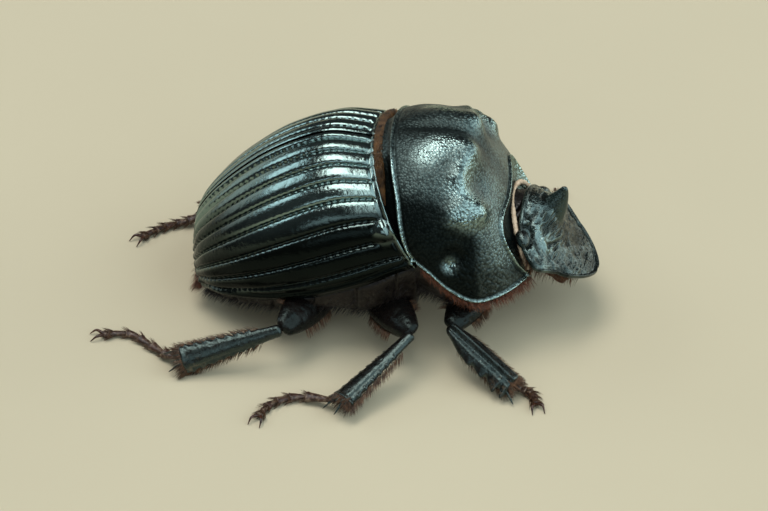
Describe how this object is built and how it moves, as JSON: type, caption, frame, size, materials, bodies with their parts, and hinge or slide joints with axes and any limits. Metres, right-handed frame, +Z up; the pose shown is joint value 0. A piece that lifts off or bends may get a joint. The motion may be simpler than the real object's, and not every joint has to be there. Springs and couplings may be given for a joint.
{
  "type": "dung beetle",
  "caption": "Dung beetle, life size and standing: shovel head with a short horn, humped pronotum, domed grooved wing cases, toothed digging front legs and spiny hind legs.",
  "frame": {"origin": "on the floor, at the middle of the footprint", "axes": "+X towards the head, +Y to the beetle's left, +Z up"},
  "size_m": [0.0294, 0.0268, 0.0123],
  "materials": {
    "elytra": "polished black shell with a cool sheen",
    "pronotum": "satin black, finely grained",
    "head": "satin black, wrinkled",
    "underside": "dull brownish black",
    "leg": "shiny black",
    "tarsus": "shiny dark brown",
    "eye": "polished dark brown",
    "feeler": "dull reddish brown"
  },
  "bodies": {
    "root": {"abdomen": "underside", "antenna_left": "feeler", "antenna_right": "feeler", "elytron_left": "elytra", "elytron_right": "elytra", "eye_left": "eye", "eye_right": "eye", "femur_front_left": "leg", "femur_front_right": "leg", "femur_hind_left": "leg", "femur_hind_right": "leg", "femur_mid_left": "leg", "femur_mid_right": "leg", "head": "head", "horn": "head", "metathorax": "underside", "palp_left": "feeler", "palp_right": "feeler", "pronotum": "pronotum", "prothorax_underside": "underside", "pygidium": "underside", "tarsus_front_left": "tarsus", "tarsus_front_right": "tarsus", "tarsus_hind_left": "tarsus", "tarsus_hind_right": "tarsus", "tarsus_mid_left": "tarsus", "tarsus_mid_right": "tarsus", "tibia_front_left": "leg", "tibia_front_right": "leg", "tibia_hind_left": "leg", "tibia_hind_right": "leg", "tibia_mid_left": "leg", "tibia_mid_right": "leg"}
  },
  "joints": []
}
